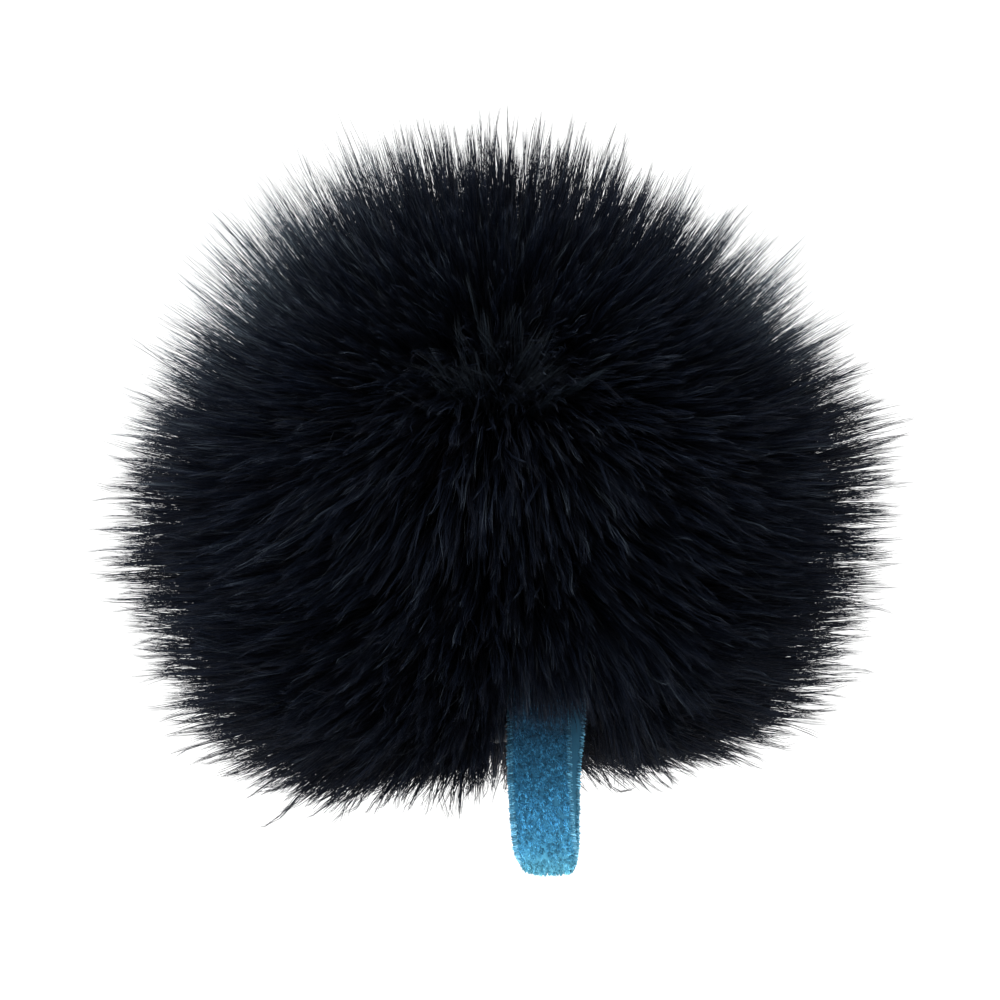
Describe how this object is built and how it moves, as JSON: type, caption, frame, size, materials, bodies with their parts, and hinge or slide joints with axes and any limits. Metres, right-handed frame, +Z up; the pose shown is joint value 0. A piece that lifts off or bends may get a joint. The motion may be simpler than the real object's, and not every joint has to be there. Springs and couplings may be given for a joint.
{
  "type": "lavalier microphone wind cover",
  "caption": "Round long-pile fur wind cover for a clip-on microphone capsule, with a foam core, an elastic mouth below and a ribbon pull tab.",
  "frame": {"origin": "centre of the relaxed elastic mouth, on the plane of the elastic cord", "axes": "+Z up through the crown of the cover, -Z out of the mouth, -Y towards the front, where the pull tab hangs, +X to the right seen from the front"},
  "size_m": [0.0532, 0.0532, 0.0495],
  "materials": {
    "pile": "matte",
    "backing": "matte",
    "foam": "matte",
    "elastic": "matte",
    "thread": "satin",
    "ribbon": "matte"
  },
  "bodies": {
    "cover": {"front_backing": "backing", "rear_backing": "backing", "front_pile": "pile", "rear_pile": "pile", "panel_seam_thread": "thread", "foam_core": "foam", "hem_casing": "backing", "hem_stitch": "thread", "elastic_cord": "elastic", "elastic_knot": "elastic", "tab_root": "ribbon", "tab_tack_lower": "thread", "tab_tack_upper": "thread"},
    "tab_upper": {"tab_neck": "ribbon"},
    "tab_lower": {"tab_loop": "ribbon"}
  },
  "joints": [
    {"name": "tab_lift", "type": "hinge", "parent": "cover", "child": "tab_upper", "pos_m": [0, -0.009, 0.002], "axis": [-1, 0, 0], "range_deg": [-12, 75]},
    {"name": "tab_twist", "type": "hinge", "parent": "tab_upper", "child": "tab_lower", "pos_m": [0, -0.009, -0.0003], "axis": [0, 0, 1], "range_deg": [-45, 45]}
  ]
}
